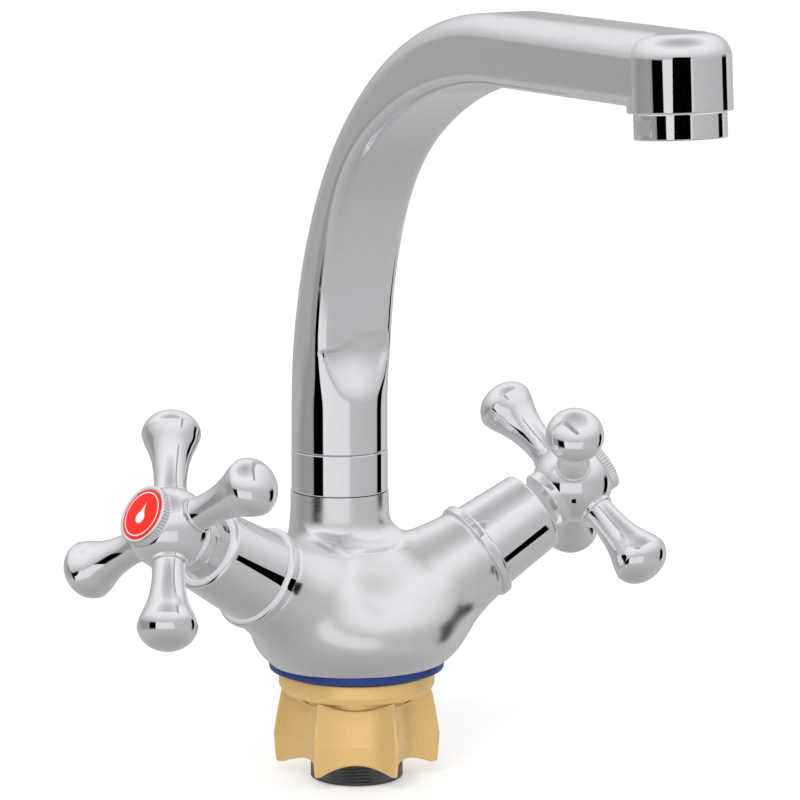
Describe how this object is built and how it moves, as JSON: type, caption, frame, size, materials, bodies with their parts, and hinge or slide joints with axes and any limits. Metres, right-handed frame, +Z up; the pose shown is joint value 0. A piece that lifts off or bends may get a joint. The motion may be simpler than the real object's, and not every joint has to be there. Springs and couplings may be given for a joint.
{
  "type": "basin mixer faucet",
  "caption": "Two-handle deck-mounted basin mixer with cross handles and a tall swivelling cast spout.",
  "frame": {"origin": "centre of the seating plane, the underside of the base seal", "axes": "+Z up, spout towards -Y, hot handle towards -X, cold handle towards +X"},
  "size_m": [0.1773, 0.205, 0.2282],
  "materials": {
    "polished_chrome": "mirror-polished chrome plate on cast brass",
    "plated_brass": "bright plated turned brass",
    "plain_brass": "machined brass",
    "steel": "stainless screw",
    "black_rubber": "moulded rubber",
    "ceramic": "lapped ceramic",
    "red_plastic": "glossy red",
    "blue_plastic": "glossy blue",
    "blue_seal": "smooth blue soft plastic",
    "dark_thread": "dark threaded tube",
    "satin_brass": "satin gold-coloured brass",
    "white_plastic": "moulded acetal"
  },
  "bodies": {
    "body": {"body_casting": "polished_chrome", "base_seal": "blue_seal", "threaded_shank": "dark_thread", "swivel_collar": "polished_chrome", "hot_flange_ring": "polished_chrome", "hot_valve_sleeve": "polished_chrome", "hot_valve_body": "plated_brass", "hot_valve_o_ring": "black_rubber", "hot_seat_washer": "black_rubber", "hot_fixed_disc": "ceramic", "cold_flange_ring": "polished_chrome", "cold_valve_sleeve": "polished_chrome", "cold_valve_body": "plated_brass", "cold_valve_o_ring": "black_rubber", "cold_seat_washer": "black_rubber", "cold_fixed_disc": "ceramic"},
    "gasket": {"deck_gasket": "black_rubber"},
    "nut": {"mounting_nut": "satin_brass"},
    "spout_group": {"spout": "polished_chrome", "spout_tail": "plain_brass", "spout_seal_rings": "black_rubber", "spout_bearing_ring": "white_plastic", "aerator_housing": "polished_chrome", "aerator_gasket": "black_rubber", "aerator_insert": "white_plastic"},
    "hot_handle": {"hot_moving_disc": "ceramic", "hot_spindle": "plain_brass", "hot_handle_hub": "polished_chrome", "hot_handle_arms": "polished_chrome", "hot_handle_screw": "steel", "hot_index_cap": "polished_chrome", "hot_index_disc": "red_plastic"},
    "cold_handle": {"cold_moving_disc": "ceramic", "cold_spindle": "plain_brass", "cold_handle_hub": "polished_chrome", "cold_handle_arms": "polished_chrome", "cold_handle_screw": "steel", "cold_index_cap": "polished_chrome", "cold_index_disc": "blue_plastic"}
  },
  "joints": [
    {"name": "gasket_travel", "type": "slide", "parent": "body", "child": "gasket", "axis": [0, 0, -1], "range_m": [0, 0.02]},
    {"name": "nut_turn", "type": "hinge", "parent": "gasket", "child": "nut", "pos_m": [0, 0, -0.015], "axis": [0, 0, -1], "range_deg": [0, 7200]},
    {"name": "spout_swivel", "type": "hinge", "parent": "body", "child": "spout_group", "pos_m": [0, 0.0094, 0.06], "axis": [0, 0, 1], "continuous": true},
    {"name": "hot_handle_turn", "type": "hinge", "parent": "body", "child": "hot_handle", "pos_m": [0, -0.00245, 0.0101], "axis": [-0.8567, -0.1143, 0.503], "range_deg": [0, 180]},
    {"name": "cold_handle_turn", "type": "hinge", "parent": "body", "child": "cold_handle", "pos_m": [0, -0.00245, 0.0101], "axis": [0.8567, -0.1143, 0.503], "range_deg": [0, 180]}
  ],
  "couplings": [
    {"joint": "nut_turn", "follows": "gasket_travel", "rad_per_m": 6283}
  ]
}
